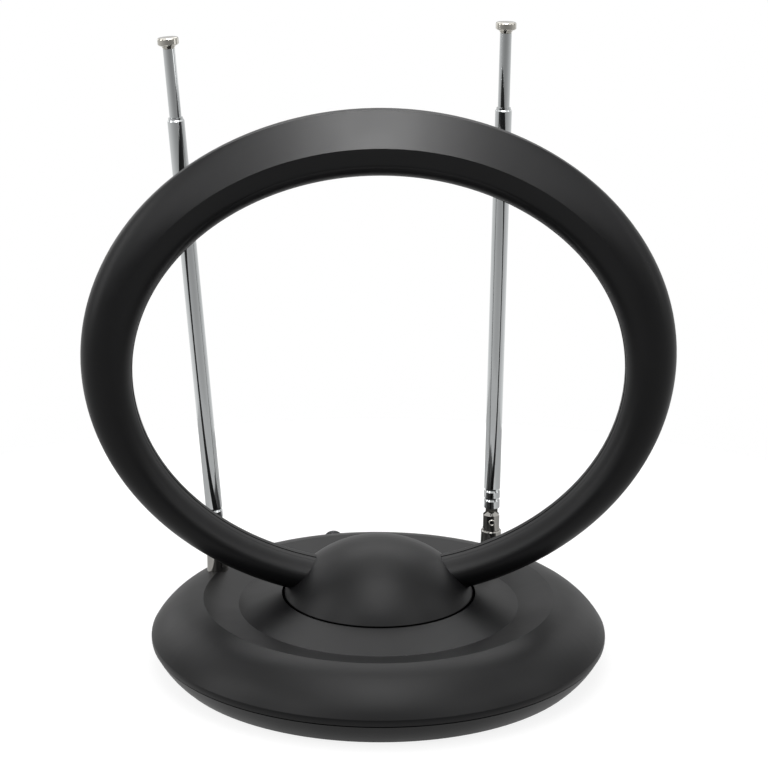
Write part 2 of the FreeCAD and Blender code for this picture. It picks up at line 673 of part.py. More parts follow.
def ring_head():
    wall = S["wall"]
    part = S["ring_part"]
    back = S["ring_back"]
    past = back + wall
    share = S["ridge_share"]
    ridge = -S["ring_front"]
    outer_edge = -S["outer_edge_front"]
    inner_edge = -S["inner_edge_front"]
    outer_wall = drawn_oval("front_outer_wall", 0, 0, outer_edge, back)
    outer_facet = tapered_oval("front_outer_facet", [(0, outer_edge), (share, ridge)])
    inner_facet = tapered_oval("front_inner_facet", [(share, ridge), (1, inner_edge)])
    inner_wall = drawn_oval("front_inner_wall", 1, 0, inner_edge, past)
    block = cut("front_ring", fuse("front_outside", [outer_wall, outer_facet]),
                fuse("front_inside", [inner_facet, inner_wall]))
    front_ring = rounded("front_ring_rounded", block, [
        (outer_edge, S["outer_edge_round"]),
        (ridge, S["ridge_round"]),
        (inner_edge, S["inner_edge_round"]),
        (back, S["back_edge_round"]),
    ])

    # The channel for the conductor is open at the back, and the lid of the rear shell closes it
    beside = S["channel_wall"]
    floor = -S["channel_front"]
    channel = cut("channel", drawn_oval("channel_outside", 0, -beside, floor, past),
                  drawn_oval("channel_inside", 1, beside, floor, past))
    inset = beside + S["lid_gap"]
    lid = cut("lid_ring", drawn_oval("lid_outside", 0, -inset, part, back),
              drawn_oval("lid_inside", 1, inset, part - wall, past))

    reach = S["ring_half_width"] * 2
    front_room = box("front_room", (-reach, -reach, 0), (reach, part, reach))
    rear_room = box("rear_room", (-reach, part, 0), (reach, reach, reach))
    full = dome_solid("dome_full", as_size(0), dome_bottom)
    space = dome_solid("dome_space", wall, dome_bottom - wall)
    core = dome_solid("dome_core", wall / 2, dome_bottom - wall)
    bowl = cut("dome_bowl", full, space)
    front_bowl = cut("front_bowl", bowl, channel)
    hollow_arms = cut("front_arms_channelled", cut("front_arms", front_ring, core), channel)
    front_arms = cut("front_arms_clear", hollow_arms, common("rear_dome", full, rear_room))
    rear_arms = cut("rear_arms", lid, core)

    halves = (("front_shell", front_arms, front_bowl, front_room, -S["dome_post_front"]),
              ("rear_shell", rear_arms, bowl, rear_room, S["dome_post_back"]))
    for label, arms, part_bowl, room, post_y in halves:
        posts = []
        for side in (-1, 1):
            x = S["dome_post_x"] * side
            name = "%s_post_%d" % (label, side)
            post = rod(name, S["dome_post_radius"], S["dome_top"] - plate_over, x, post_y, plate_over)
            pilot = rod(name + "_pilot", S["screw_radius"], S["screw_length"], x, post_y, plate_over - wall)
            posts.append(cut(name + "_drilled", post, pilot))
        pillars = common(label + "_pillars", fuse(label + "_posts", posts), core)
        half_dome = common(label + "_half", fuse(label + "_dome", [part_bowl, pillars]), room)
        node(label, fuse(label + "_whole", [arms, half_dome]))

    half = S["strip_width"] / 2
    top = floor + S["strip_height"]
    strip = cut("strip_ring", drawn_oval("strip_outside", share, half, floor, top),
                drawn_oval("strip_inside", share, -half, floor, top))
    gap = S["strip_gap"] / 2
    opening = box("strip_gap_box", (-gap, floor - wall, 0), (gap, top + wall, S["dome_top"]))
    node("loop_conductor", cut("strip_cut", strip, opening))


# Swivel plate: floor of the dome, with a spigot that turns in the base, its washer and its screw

def swivel():
    wall = S["wall"]
    spigot_bottom = S["well_floor"] - wall - S["swivel_gap"]
    disc_radius = S["dome_radius"] - wall - S["lip_gap"]
    disc = turned("swivel_disc", [
        (S["screw_radius"], spigot_bottom),
        (S["spigot_radius"], spigot_bottom),
        (S["spigot_radius"], plate_under),
        (disc_radius, plate_under),
        (disc_radius, plate_over),
        (S["screw_radius"], plate_over),
    ])
    depths = (-S["dome_post_front"], S["dome_post_back"])
    places = [(S["dome_post_x"] * side, y) for side in (-1, 1) for y in depths]
    holes = []
    screws = []
    seat = plate_under + S["screw_head_height"] + S["lip_gap"]
    sink = S["screw_head_radius"] + S["lip_gap"]
    hole = S["screw_radius"] + S["lip_gap"]
    for index, (x, y) in enumerate(places):
        holes.append(rod("swivel_sink_%d" % index, sink, seat - plate_under, x, y, plate_under))
        holes.append(rod("swivel_hole_%d" % index, hole, wall * 3, x, y, plate_under))
        screws.append(screw("swivel_screw_%d" % index, x, y, seat, S["short_screw_length"]))
    node("swivel_plate", cut("swivel_cut", disc, fuse("swivel_holes", holes)))
    node("swivel_screws", group("swivel_screw_group", screws))
    washer_bottom = spigot_bottom - S["washer_height"]
    node("spigot_washer", turned("spigot_washer_disc", [
        (S["screw_radius"] + S["lip_gap"], washer_bottom),
        (S["spigot_washer_radius"], washer_bottom),
        (S["spigot_washer_radius"], spigot_bottom),
        (S["screw_radius"] + S["lip_gap"], spigot_bottom),
    ]))
    node("spigot_screw", screw("spigot_screw_shape", 0, 0, washer_bottom, S["short_screw_length"]))


# Rods: each stands on an elbow that turns in its socket, and tilts outwards at the rivet

tube_room = S["main_radius"] - S["main_wall"]
middle_radius = tube_room - S["running_gap"]
middle_room = middle_radius - S["middle_wall"]
tip_radius = middle_room - S["running_gap"]


def elbow(side, x, y):
    bottom = S["collar_bottom"]
    screw_top = shank_bottom + S["short_screw_length"] + S["washer_height"]
    fork_top = S["pivot_height"] + S["fork_rise"]
    bevel = S["fork_chamfer"]
    edge = S["collar_radius"] - S["fork_radius"]
    turned_bar = turned(side + "_elbow_bar", [
        (S["screw_radius"], shank_bottom),
        (S["shank_radius"], shank_bottom),
        (S["shank_radius"], bottom),
        (S["collar_radius"], bottom),
        (S["collar_radius"], S["collar_top"] - edge / 2),
        (S["collar_radius"] - edge / 2, S["collar_top"]),
        (S["fork_radius"], S["collar_top"]),
        (S["fork_radius"], fork_top - bevel),
        (S["fork_radius"] - bevel, fork_top),
        (0, fork_top),
        (0, screw_top),
        (S["screw_radius"], screw_top),
    ])
    half = S["slot_width"] / 2
    reach = S["collar_radius"]
    slot_bottom = S["pivot_height"] - S["tongue_width"] / 2 - S["slot_play"]
    slot = box(side + "_slot", (-reach, -half, slot_bottom), (reach, half, fork_top + half))
    pin_hole = rod_back(side + "_pin_hole", S["pin_radius"], reach * 2, 0, -reach, S["pivot_height"])
    body = cut(side + "_elbow_cut", turned_bar, fuse(side + "_elbow_tools", [slot, pin_hole]))
    node(side + "_elbow", place(body, x, y, 0))

    end = S["fork_radius"] - S["pin_recess"]
    pin = rod_back(side + "_pin_bar", S["pin_radius"], end * 2, 0, -end, S["pivot_height"])
    node(side + "_elbow_pin", place(group(side + "_pin_group", [pin]), x, y, 0))

    washer_bottom = shank_bottom - S["washer_height"]
    node(side + "_elbow_washer", place(turned(side + "_elbow_washer_disc", [
        (S["screw_radius"] + S["tongue_play"], washer_bottom),
        (S["collar_radius"], washer_bottom),
        (S["collar_radius"], shank_bottom),
        (S["screw_radius"] + S["tongue_play"], shank_bottom),
    ]), x, y, 0))
    fixing = screw(side + "_elbow_screw_shape", 0, 0, washer_bottom, S["short_screw_length"])
    node(side + "_elbow_screw", place(fixing, x, y, 0))


def contact_lug(side, x, y, inward):
    """A solder tag under the socket, with its tail towards the middle of the base."""
    top = socket_bottom
    bottom = top - S["washer_height"]
    half = S["lug_tail_width"] / 2
    disc = rod(side + "_lug_disc", S["collar_radius"], S["washer_height"], 0, 0, bottom)
    tail = box(side + "_lug_tail", (-half, 0, bottom), (half, S["lug_tail_length"], top))
    hole = rod(side + "_lug_hole", S["shank_radius"] + S["tongue_play"], S["pivot_height"])
    lug = cut(side + "_lug_cut", fuse(side + "_lug_whole", [disc, tail]), hole)
    node(side + "_contact_lug", place(lug, x, y, 0, UP, inward))


def grooved(bottom, top, radius):
    """Corners of an upright wall with the two rolled grooves, from the bottom to the top."""
    corners = [(radius, bottom)]
    for middle in (S["groove_low"], S["groove_high"]):
        half = S["groove_width"] / 2
        corners += [(radius, middle - half), (radius - S["groove_depth"], middle), (radius, middle + half)]
    return corners + [(radius, top)]


def telescope(side, x, y, lean, tip_out):
    def stand(thing):
        return place(thing, x, y, S["pivot_height"], DEEP, lean)

    gap = S["running_gap"] / 2
    start = S["rod_start"]
    half_width = S["tongue_width"] / 2
    half_thick = S["slot_width"] / 2 - S["tongue_play"]
    blade_top = start + S["groove_width"]
    blade = box(side + "_tongue_blade", (-half_width, -half_thick, 0), (half_width, half_thick, blade_top))
    eye = rod_back(side + "_tongue_eye", half_width, half_thick * 2, 0, -half_thick, 0)
    hole = rod_back(side + "_tongue_hole", S["pin_radius"] + gap, half_width * 2, 0, -half_width, 0)
    wall_corners = grooved(start, S["plug_top"], tube_room - gap)
    plug = turned(side + "_plug_bar", [(0, start)] + wall_corners + [(0, S["plug_top"])])
    whole = fuse(side + "_plug_whole", [blade, eye, plug])
    node(side + "_rod_plug", stand(cut(side + "_plug_cut", whole, hole)))

    mouth = (S["main_radius"] - S["mouth_bevel"], S["main_top"])
    outside = grooved(start, S["main_top"] - S["mouth_bevel_height"], S["main_radius"]) + [mouth]
    inside = grooved(start, S["main_top"], tube_room)
    node(side + "_main_tube", stand(turned(side + "_main_bar", outside + inside[::-1])))

    middle_top = S["main_top"] + S["middle_out"]
    node(side + "_middle_tube", stand(turned(side + "_middle_bar", [
        (middle_room, S["middle_start"]),
        (middle_radius, S["middle_start"]),
        (middle_radius, middle_top),
        (middle_room, middle_top),
    ])))

    tip_top = middle_top + tip_out
    tip_bottom = tip_top - S["tip_length"]
    tip_room = tip_radius - S["tip_wall"]
    node(side + "_tip_tube", stand(turned(side + "_tip_bar", [
        (tip_room, tip_bottom),
        (tip_radius, tip_bottom),
        (tip_radius, tip_top),
        (tip_room, tip_top),
    ])))

    plug_bottom = tip_top - S["knob_height"]
    neck_top = tip_top + S["knob_neck_height"]
    knob_top = tip_top + S["knob_height"]
    knob_round = S["knob_round"]
    node(side + "_tip_knob", stand(turned(side + "_knob_bar", [
        (0, plug_bottom),
        (tip_room - gap, plug_bottom),
        (tip_room - gap, tip_top),
        (tip_radius - gap * 4, tip_top),
        (S["knob_neck_radius"], neck_top - knob_round / 2),
        (S["knob_radius"] - knob_round / 2, neck_top),
        (S["knob_radius"], neck_top + knob_round / 2),
        (S["knob_radius"], knob_top - knob_round),
        Bow(knob_round),
        (S["knob_radius"] - knob_round, knob_top),
        (0, knob_top),
    ])))


def rods():
    for side, sign in (("left", -1), ("right", 1)):
        lean = S[side + "_lean_angle"]
        tip_out = S[side + "_tip_out"]
        angle = S["rod_spread_angle"] * sign - S["base_turn_angle"]
        x, y = on_base(rod_circle, angle)
        elbow(side, x, y)
        contact_lug(side, x, y, as_size(180) - angle)
        telescope(side, x, y, lean * sign, tip_out)


def check_and_export():
    """Stops at anything that failed to build, then writes one file for each sub-part."""
    doc.recompute()
    for thing in doc.Objects:
        if "Invalid" in thing.State or "Error" in thing.State:
            raise RuntimeError("%s failed: %s" % (thing.Label, thing.State))
    os.makedirs("parts", exist_ok=True)
    for thing in NODES:
        shape = thing.Shape
        if shape.isNull() or not shape.isValid() or not shape.Solids:
            raise RuntimeError("%s has no valid shape" % thing.Label)
        shape.exportStep("parts/%s.step" % thing.Label)
        print("%-20s solids %d  volume %.0f" % (thing.Label, len(shape.Solids), shape.Volume))


base_cover()
base_plate()
base_feet()
ballast_plate()
balun()
aerial_socket()
ring_head()
swivel()
rods()
check_and_export()
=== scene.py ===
# %% [markdown]
# # A ring antenna with two telescopic rods
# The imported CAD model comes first. It is the fixed frame: every solid already has its real size and
# place, in metres. This lesson gives it light, finishes and the small details that a moulded and plated
# object shows, and never moves a solid.

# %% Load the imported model
import json
import math

import bmesh
import bpy
from mathutils import Matrix, Vector


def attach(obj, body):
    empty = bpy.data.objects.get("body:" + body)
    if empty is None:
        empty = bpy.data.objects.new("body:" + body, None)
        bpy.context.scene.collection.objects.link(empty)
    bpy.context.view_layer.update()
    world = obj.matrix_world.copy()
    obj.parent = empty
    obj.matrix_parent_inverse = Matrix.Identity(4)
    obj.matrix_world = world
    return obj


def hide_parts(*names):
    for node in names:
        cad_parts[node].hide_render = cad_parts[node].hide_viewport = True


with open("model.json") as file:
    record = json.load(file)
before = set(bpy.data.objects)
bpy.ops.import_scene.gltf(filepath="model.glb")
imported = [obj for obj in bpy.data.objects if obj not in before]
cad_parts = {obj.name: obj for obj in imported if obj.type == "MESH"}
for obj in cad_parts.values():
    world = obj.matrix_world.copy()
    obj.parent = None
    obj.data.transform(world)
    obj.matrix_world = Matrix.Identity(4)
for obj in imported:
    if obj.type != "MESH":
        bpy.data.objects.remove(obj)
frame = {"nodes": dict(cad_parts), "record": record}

scene = bpy.context.scene
nodes = frame["nodes"]
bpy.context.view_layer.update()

# %% [markdown]
# ## Camera
# The picture was taken from a little above, almost straight in front. Its focal length and place were
# worked out from the round base, whose true shape is known. A camera matrix can be put together from
# three directions: to the right, up, and backwards. The small roll of the real camera is added to the
# first two.

# %% Camera
CAMERA_PLACE = Vector((-0.0239, -0.8475, 0.3624))
CAMERA_HEADING = math.radians(1.735)
CAMERA_PITCH = math.radians(16.02)
CAMERA_ROLL = math.radians(0.32)
FOCAL_PIXELS = 2165.1
PHOTO_PIXELS = 768
SENSOR_WIDTH = 36.0
CLIP_START = 0.01

camera_data = bpy.data.cameras.new("photo_camera")
camera_data.sensor_width = SENSOR_WIDTH
camera_data.lens = FOCAL_PIXELS / PHOTO_PIXELS * SENSOR_WIDTH
camera_data.clip_start = CLIP_START
camera = bpy.data.objects.new("photo_camera", camera_data)
scene.collection.objects.link(camera)
forward = Vector((math.sin(CAMERA_HEADING) * math.cos(CAMERA_PITCH),
                  math.cos(CAMERA_HEADING) * math.cos(CAMERA_PITCH), -math.sin(CAMERA_PITCH)))
level_right = forward.cross(Vector((0, 0, 1))).normalized()
level_up = level_right.cross(forward)
right = level_right * math.cos(CAMERA_ROLL) + level_up * math.sin(CAMERA_ROLL)
up = right.cross(forward)
camera.matrix_world = Matrix.Translation(CAMERA_PLACE) @ Matrix((right, up, -forward)).transposed().to_4x4()
scene.camera = camera
print("lens: %.1f mm" % camera_data.lens)

# %% [markdown]
# ## Paper table
# The object stands on a small round table of white paper. Its shader adds a share of glow to a share of
# plain diffuse white: lit paper comes out white for the camera, and the shadow under the base stays as
# a pale grey. Mirrors see the paper's glow too, and there it is painted light: brighter near the object and
# dimmer further out, standing in for a table lit from above.

# %% Paper table
TABLE_RADIUS = 0.34
TABLE_SIDES = 96
TABLE_SHARE = 0.25
TABLE_SEEN = 0.835
# Painted light: the glow that mirrors see on the paper, bright near the object and faint far from it.
TABLE_NEAR = 0.605
TABLE_FAR = 0.254
NEAR_RADIUS = 0.105
FAR_RADIUS = 0.2


def ray_kinds(tree, *names):
    """1 for rays of any of the named kinds, 0 for all others."""
    path = tree.nodes.new("ShaderNodeLightPath")
    total = path.outputs[names[0]]
    for name in names[1:]:
        either = tree.nodes.new("ShaderNodeMath")
        either.operation = "MAXIMUM"
        tree.links.new(total, either.inputs[0])
        tree.links.new(path.outputs[name], either.inputs[1])
        total = either.outputs[0]
    return total


def span(tree, value, low, high, new_low=0.0, new_high=1.0):
    """Maps a value from one range to another and stops at its ends."""
    made = tree.nodes.new("ShaderNodeMapRange")
    for name, number in (("From Min", low), ("From Max", high), ("To Min", new_low), ("To Max", new_high)):
        made.inputs[name].default_value = number
    tree.links.new(value, made.inputs["Value"])
    return made.outputs[0]


def paper_material():
    material = bpy.data.materials.new("white_paper")
    material.use_nodes = True
    tree = material.node_tree
    tree.nodes.clear()
    out = tree.nodes.new("ShaderNodeOutputMaterial")
    paper = tree.nodes.new("ShaderNodeBsdfDiffuse")
    paper.inputs["Color"].default_value = (TABLE_SHARE, TABLE_SHARE, TABLE_SHARE, 1)
    glow = tree.nodes.new("ShaderNodeEmission")
    place = tree.nodes.new("ShaderNodeTexCoord")
    distance = tree.nodes.new("ShaderNodeVectorMath")
    distance.operation = "LENGTH"
    mirrored = tree.nodes.new("ShaderNodeMath")
    mirrored.operation = "MULTIPLY"
    strength = tree.nodes.new("ShaderNodeMath")
    strength.operation = "MULTIPLY_ADD"
    strength.inputs[1].default_value = TABLE_SEEN
    both = tree.nodes.new("ShaderNodeAddShader")
    tree.links.new(place.outputs["Object"], distance.inputs[0])
    # Painted reflection: the glow seen by mirrors fades with the distance from the object.
    painted_reflection_fade = span(tree, distance.outputs["Value"], NEAR_RADIUS, FAR_RADIUS, TABLE_NEAR, TABLE_FAR)
    tree.links.new(ray_kinds(tree, "Is Glossy Ray", "Is Transmission Ray"), mirrored.inputs[0])
    tree.links.new(painted_reflection_fade, mirrored.inputs[1])
    tree.links.new(ray_kinds(tree, "Is Camera Ray"), strength.inputs[0])
    tree.links.new(mirrored.outputs[0], strength.inputs[2])
    tree.links.new(strength.outputs[0], glow.inputs["Strength"])
    tree.links.new(paper.outputs[0], both.inputs[0])
    tree.links.new(glow.outputs[0], both.inputs[1])
    tree.links.new(both.outputs[0], out.inputs["Surface"])
    return material


def make_table():
    mesh = bpy.data.meshes.new("paper_table")
    shape = bmesh.new()
    bmesh.ops.create_circle(shape, cap_ends=True, segments=TABLE_SIDES, radius=TABLE_RADIUS)
    shape.to_mesh(mesh)
    shape.free()
    mesh.materials.append(paper_material())
    table = bpy.data.objects.new("paper_table", mesh)
    scene.collection.objects.link(table)


make_table()
print("paper table: %.2f m across" % (2 * TABLE_RADIUS))

# %% [markdown]
# ## Studio
# Satin black and chrome show hardly anything but what they reflect, so the studio's tones model the
# ring, the dome and the rods. The world is white for the camera. Mirrors see the same white studio
# overhead and behind the object, with its darker side, where the camera stands, in front. All other
# rays get plain grey light. Two ramps over the height give the front and the back, and the direction's
# depth mixes them.

# %% Studio
FRONT_TONES = [(0.0, 0.23), (0.325, 0.53), (0.475, 0.21), (0.65, 0.0), (0.8, 1.0), (1.0, 1.0)]
BACK_TONES = [(0.0, 0.23), (0.325, 1.0), (0.475, 0.68), (0.65, 0.63), (0.8, 1.0), (1.0, 1.0)]
GREY_LIGHT = 0.4
WHITE = (1, 1, 1)


def tone_ramp(tree, height, stops):
    """A ramp of greys over the height of a direction."""
    ramp = tree.nodes.new("ShaderNodeValToRGB")
    while len(ramp.color_ramp.elements) < len(stops):
        ramp.color_ramp.elements.new(0.5)
    for element, (position, tone) in zip(ramp.color_ramp.elements, stops):
        element.position = position
        element.color = (tone, tone, tone, 1)
    tree.links.new(height, ramp.inputs[0])
    return ramp.outputs["Color"]


def blend(tree, factor, first, second):
    """Mixes two colours, each of them a plain one or another node's output."""
    mix = tree.nodes.new("ShaderNodeMix")
    mix.data_type = "RGBA"
    tree.links.new(factor, mix.inputs["Factor"])
    for name, value in (("A", first), ("B", second)):
        if isinstance(value, bpy.types.NodeSocket):
            tree.links.new(value, mix.inputs[name])
        else:
            mix.inputs[name].default_value = (*value, 1)
    return mix.outputs["Result"]


def make_studio():
    world = bpy.data.worlds.new("studio")
    world.use_nodes = True
    world.cycles.sampling_method = "NONE"
    tree = world.node_tree
    tree.nodes.clear()
    out = tree.nodes.new("ShaderNodeOutputWorld")
    place = tree.nodes.new("ShaderNodeTexCoord")
    split = tree.nodes.new("ShaderNodeSeparateXYZ")
    tree.links.new(place.outputs["Generated"], split.inputs[0])
    height = span(tree, split.outputs["Z"], -1, 1)
    depth = span(tree, split.outputs["Y"], -1, 1)
    mirrored = blend(tree, depth, tone_ramp(tree, height, FRONT_TONES), tone_ramp(tree, height, BACK_TONES))
    seen = tree.nodes.new("ShaderNodeBackground")
    tree.links.new(blend(tree, ray_kinds(tree, "Is Camera Ray"), mirrored, WHITE), seen.inputs["Color"])
    light = tree.nodes.new("ShaderNodeBackground")
    light.inputs["Color"].default_value = (GREY_LIGHT, GREY_LIGHT, GREY_LIGHT, 1)
    mix = tree.nodes.new("ShaderNodeMixShader")
    tree.links.new(ray_kinds(tree, "Is Camera Ray", "Is Glossy Ray", "Is Transmission Ray"), mix.inputs[0])
    tree.links.new(light.outputs[0], mix.inputs[1])
    tree.links.new(seen.outputs[0], mix.inputs[2])
    tree.links.new(mix.outputs[0], out.inputs["Surface"])
    scene.world = world


make_studio()
print("studio tones:", len(FRONT_TONES) + len(BACK_TONES))

# %% [markdown]
# ## Softboxes
# Large area lamps stand all round, as in a product studio, because small lamps would leave hard spots
# on the satin dome. Together they make a flat white card look about as white as it is. A small lamp
# with a narrow spread is aimed at the ring's top only: there the real ring has its one clear highlight.

# %% Softboxes
BASE_TARGET = (0.0, 0.0, 0.1)
SOFTBOXES = [
    ("overhead_front", (0.0, -0.35, 0.85), BASE_TARGET, 0.6, 0.5, 2.23),
    ("overhead", (0.0, 0.05, 1.0), (0.0, 0.0, 0.0), 0.5, 0.5, 1.78),
    ("behind", (0.0, 0.7, 0.8), BASE_TARGET, 0.8, 0.4, 1.34),
    ("left", (-0.85, -0.1, 0.45), BASE_TARGET, 0.3, 0.6, 1.48),
    ("right", (0.85, -0.1, 0.45), BASE_TARGET, 0.3, 0.6, 0.59),
    ("front_left", (-0.6, -0.6, 0.6), BASE_TARGET, 0.35, 0.5, 1.04),
    ("front_right", (0.6, -0.6, 0.6), BASE_TARGET, 0.35, 0.5, 0.76),
    ("behind_left", (-0.6, 0.6, 0.35), BASE_TARGET, 0.4, 0.4, 0.43),
    ("behind_right", (0.6, 0.6, 0.35), BASE_TARGET, 0.4, 0.4, 0.23),
    ("ring_top", (0.0, -0.33, 0.54), (0.0, -0.005, 0.255), 0.18, 0.14, 0.108, 30),
]


def softbox(name, place, target, width, height, watts, beam=180):
    """An area lamp, width by height, that looks at its target. The camera doesn't see it."""
    data = bpy.data.lights.new(name + "_softbox", "AREA")
    data.shape = "RECTANGLE"
    data.size = width
    data.size_y = height
    data.energy = watts
    data.spread = math.radians(beam)
    lamp = bpy.data.objects.new(name + "_softbox", data)
    lamp.location = place
    lamp.rotation_euler = (Vector(target) - Vector(place)).to_track_quat("-Z", "Y").to_euler()
    lamp.visible_camera = False
    scene.collection.objects.link(lamp)


for settings in SOFTBOXES:
    softbox(*settings)
scene.view_settings.view_transform = "Standard"
print("softboxes:", len(SOFTBOXES))

# %% [markdown]
# ## Finishes
# Every finish is a small tree of shader nodes. A moulded plastic is never one flat grey: the mould's
# fine eroded grain breaks up the highlight, so a very fine noise drives a weak bump and another one the
# roughness. Object coordinates are metres here, so a noise scale of 4000 gives grains of a quarter of a
# millimetre.

# %% Helpers for finishes
NOISE_LOW = 0.3
NOISE_HIGH = 0.7


def finish_tree(name):
    """A new material, with its tree, its shader and the object coordinates in that tree."""
    material = bpy.data.materials.new(name)
    material.use_nodes = True
    tree = material.node_tree
    shader = tree.nodes["Principled BSDF"]
    place = tree.nodes.new("ShaderNodeTexCoord")
    return material, tree, shader, place.outputs["Object"]


def noise(tree, place, scale, detail=2.0, stretch=(1, 1, 1)):
    """A noise on object coordinates, drawn out by the stretch factors."""
    mapping = tree.nodes.new("ShaderNodeMapping")
    mapping.inputs["Scale"].default_value = stretch
    texture = tree.nodes.new("ShaderNodeTexNoise")
    texture.inputs["Scale"].default_value = scale
    texture.inputs["Detail"].default_value = detail
    tree.links.new(place, mapping.inputs["Vector"])
    tree.links.new(mapping.outputs[0], texture.inputs["Vector"])
    return texture.outputs["Fac"]


def spread(tree, value, low, high):
    """Maps a noise to a range, for roughness."""
    return span(tree, value, NOISE_LOW, NOISE_HIGH, low, high)


def bumped(tree, value, shader, strength, distance):
    """Lets a noise raise and lower the surface by a small distance."""
    bump = tree.nodes.new("ShaderNodeBump")
    bump.inputs["Strength"].default_value = strength
    bump.inputs["Distance"].default_value = distance
    tree.links.new(value, bump.inputs["Height"])
    tree.links.new(bump.outputs[0], shader.inputs["Normal"])


# %% Moulded plastic, rubber and board
MOULD_CLOUDS = 60.0
MOULD_GRAIN_DEPTH = 0.00004
MOULD_ROUGH_STEP = 0.02


def moulded(name, dark, light, rough, grain=4200.0, bump=0.12, specular=0.5):
    """A moulded finish between two close tones, with a fine grain."""
    material, tree, shader, place = finish_tree(name)
    cloud = noise(tree, place, MOULD_CLOUDS)
    fine = noise(tree, place, grain)
    tree.links.new(blend(tree, cloud, dark, light), shader.inputs["Base Color"])
    roughness = spread(tree, cloud, rough - MOULD_ROUGH_STEP, rough + MOULD_ROUGH_STEP)
    tree.links.new(roughness, shader.inputs["Roughness"])
    shader.inputs["Specular IOR Level"].default_value = specular
    bumped(tree, fine, shader, bump, MOULD_GRAIN_DEPTH)
    return material


satin_black = moulded("satin_black_plastic", (0.003, 0.003, 0.0033), (0.0045, 0.0045, 0.005), 0.4,
                      specular=0.25)
dark_grey = moulded("dark_grey_plastic", (0.045, 0.045, 0.048), (0.06, 0.06, 0.064), 0.5)
black_rubber = moulded("black_rubber", (0.018, 0.018, 0.018), (0.03, 0.03, 0.03), 0.75, 2500.0, 0.3, 0.3)
green_board = moulded("green_board", (0.02, 0.12, 0.05), (0.03, 0.16, 0.07), 0.35, 1500.0, 0.05)
ferrite_grey = moulded("ferrite", (0.03, 0.03, 0.032), (0.055, 0.055, 0.058), 0.55, 1800.0, 0.3)
print("materials with the moulded ones:", len(bpy.data.materials))

# %% [markdown]
# ## Metals
# The rods are drawn brass tube with bright chrome, so their fine lines run along the tube. The knobs
# and elbows are turned and nickel-plated, and their lines run round. One function makes all of them:
# the stretch of a noise along the vertical tells drawn from turned, and two close tones keep the
# plating from looking painted. The elbows are darker than the knobs, and the elbow pins and the socket
# are plated almost black.

# %% Chrome, nickel and other metals
METAL_CLOUDS = 45.0
METAL_LINE_DEPTH = 0.00002
METAL_ROUGH_SHARE = 0.25
DRAWN = (1, 1, 0.02)
DRAWN_GRAIN = 3000.0
TURNED = (1, 1, 12)
TURNED_GRAIN = 700.0


def metal(name, dark, light, rough, stretch=(1, 1, 1), grain=900.0, bump=0.02):
    """A metal between two close tones, with fine lines that are drawn out by the stretch."""
    material, tree, shader, place = finish_tree(name)
    shader.inputs["Metallic"].default_value = 1.0
    cloud = noise(tree, place, METAL_CLOUDS)
    lines = noise(tree, place, grain, stretch=stretch)
    tree.links.new(blend(tree, cloud, dark, light), shader.inputs["Base Color"])
    roughness = spread(tree, lines, rough * (1 - METAL_ROUGH_SHARE), rough * (1 + METAL_ROUGH_SHARE))
    tree.links.new(roughness, shader.inputs["Roughness"])
    bumped(tree, lines, shader, bump, METAL_LINE_DEPTH)
    return material


chrome = metal("drawn_chrome", (0.65, 0.67, 0.675), (0.71, 0.73, 0.735), 0.08, DRAWN, DRAWN_GRAIN)
nickel = metal("turned_nickel", (0.62, 0.6, 0.56), (0.7, 0.68, 0.63), 0.16, TURNED, TURNED_GRAIN)
zinc_steel = metal("zinc_steel", (0.52, 0.53, 0.54), (0.62, 0.63, 0.64), 0.28)
brass = metal("bare_brass", (0.66, 0.52, 0.24), (0.74, 0.6, 0.3), 0.25)
aluminium = metal("mill_aluminium", (0.68, 0.69, 0.71), (0.76, 0.77, 0.79), 0.3)
warm_nickel = metal("warm_nickel", (0.55, 0.53, 0.48), (0.64, 0.62, 0.57), 0.12, TURNED, TURNED_GRAIN)
dark_nickel = metal("dark_nickel", (0.32, 0.31, 0.29), (0.41, 0.4, 0.38), 0.1, TURNED, TURNED_GRAIN)
black_nickel = metal("black_nickel", (0.055, 0.055, 0.058), (0.085, 0.085, 0.09), 0.24, TURNED, TURNED_GRAIN)
print("materials with the metals:", len(bpy.data.materials))

# %% [markdown]
# ## Finishes on the solids
# The record says which finish each solid has, by the name of a material slot. A dictionary from slots
# to materials is shorter than a line for each solid, and a second one holds the few pieces whose
# plating differs.

# %% Put the finishes on the solids
FINISH_OF_SLOT = {
    "black_plastic": satin_black, "grey_plastic": dark_grey, "rubber": black_rubber, "steel": zinc_steel,
    "chrome": chrome, "nickel": nickel, "brass": brass, "aluminium": aluminium,
    "circuit_board": green_board, "ferrite": ferrite_grey,
}
FINISH_OF_NODE = {
    "left_tip_knob": warm_nickel, "right_tip_knob": warm_nickel,
    "left_elbow": dark_nickel, "right_elbow": dark_nickel,
    "left_elbow_pin": black_nickel, "right_elbow_pin": black_nickel,
    "jack_nut": black_nickel, "jack_washer": black_nickel,
}
for entry in frame["record"]["subparts"]:
    solid = nodes[entry["node"]]
    solid.data.materials.clear()
    finish = FINISH_OF_NODE.get(entry["node"], FINISH_OF_SLOT[entry["material_slot"]])
    solid.data.materials.append(finish)

# %% [markdown]
# ## Rounded face of the ring
# The ring's front has a crisp crease at the top only. Towards the sides the crease dies out, and the
# lower arms are as round as a tube. One sweep along a path keeps the same section everywhere, so this
# face is built station by station round the ring: at each angle the section is a mix of the flat facets
# and a half oval. At the top it lies a hair over the moulded facets and gives them a crisp outer edge,
# and further down it rises out of them. Only edges that turn by more than a set angle stay sharp, so
# the crease fades as the section grows round.

# %% Section of the ring
RING_OUTLINE = (0.1213, 0.1028, 0.1284)
HOLE_OUTLINE = (0.1007, 0.0821, 0.12275)
RIDGE_SHARE = 0.53
RIDGE_DEPTH = -0.009
OUTER_DEPTH = -0.001
INNER_DEPTH = -0.003
PROUD = 0.00006
INNER_ROUND_SHARE = 0.8
INNER_ROUND_DEPTH = 0.0046
ARCH_FOOT = 0.002
ARCH_APEX = 0.54
ARCH_POWER = 2.05


